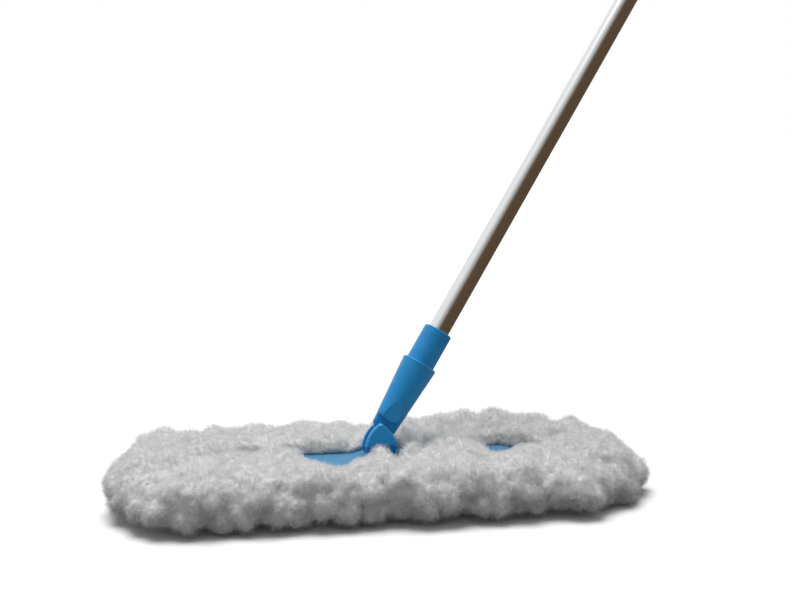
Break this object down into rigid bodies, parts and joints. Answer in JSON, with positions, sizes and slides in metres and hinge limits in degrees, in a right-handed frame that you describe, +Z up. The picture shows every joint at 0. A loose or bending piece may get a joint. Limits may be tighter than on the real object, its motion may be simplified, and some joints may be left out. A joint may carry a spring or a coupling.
{
  "type": "floor duster",
  "caption": "Floor duster with a long deep-pile sleeve on a hidden board, a two-way swivel knuckle, a tapered pole socket and a round metal pole with a grip and hanging eye.",
  "frame": {"origin": "floor point under the middle of the knuckle, on the underside of the pile", "axes": "+Z up from the floor, X along the head's long side, -Y is the front that faces the camera"},
  "size_m": [1.0886, 0.4281, 1.2961],
  "materials": {
    "pile": "deep fluffy pile",
    "hem_tape": "woven tape",
    "blue_plastic": "satin moulded",
    "washer_plastic": "matte",
    "steel": "zinc plated",
    "pole_metal": "satin anodised"
  },
  "bodies": {
    "head": {"sole_panel": "pile", "front_flap": "pile", "rear_flap": "pile", "front_hem": "hem_tape", "rear_hem": "hem_tape", "frame_board": "blue_plastic", "hinge_block": "blue_plastic", "bracket_screws": "steel", "tilt_washers": "washer_plastic"},
    "yoke": {"swivel_yoke": "blue_plastic", "tilt_pin": "steel", "tilt_pin_cap": "blue_plastic", "swing_pin": "steel"},
    "pole": {"pole_socket": "blue_plastic", "swing_washers": "washer_plastic", "pole_ferrule": "blue_plastic", "ferrule_screw": "steel", "pole_tube": "pole_metal", "hand_grip": "blue_plastic", "hanging_cap": "blue_plastic"}
  },
  "joints": [
    {"name": "tilt", "type": "hinge", "parent": "head", "child": "yoke", "pos_m": [0, 0, 0.053], "axis": [-1, 0, 0], "range_deg": [-59, 31]},
    {"name": "swing", "type": "hinge", "parent": "yoke", "child": "pole", "pos_m": [0, 0.00411, 0.0695], "axis": [0, 0.9703, -0.2419], "range_deg": [-102, 38]}
  ]
}
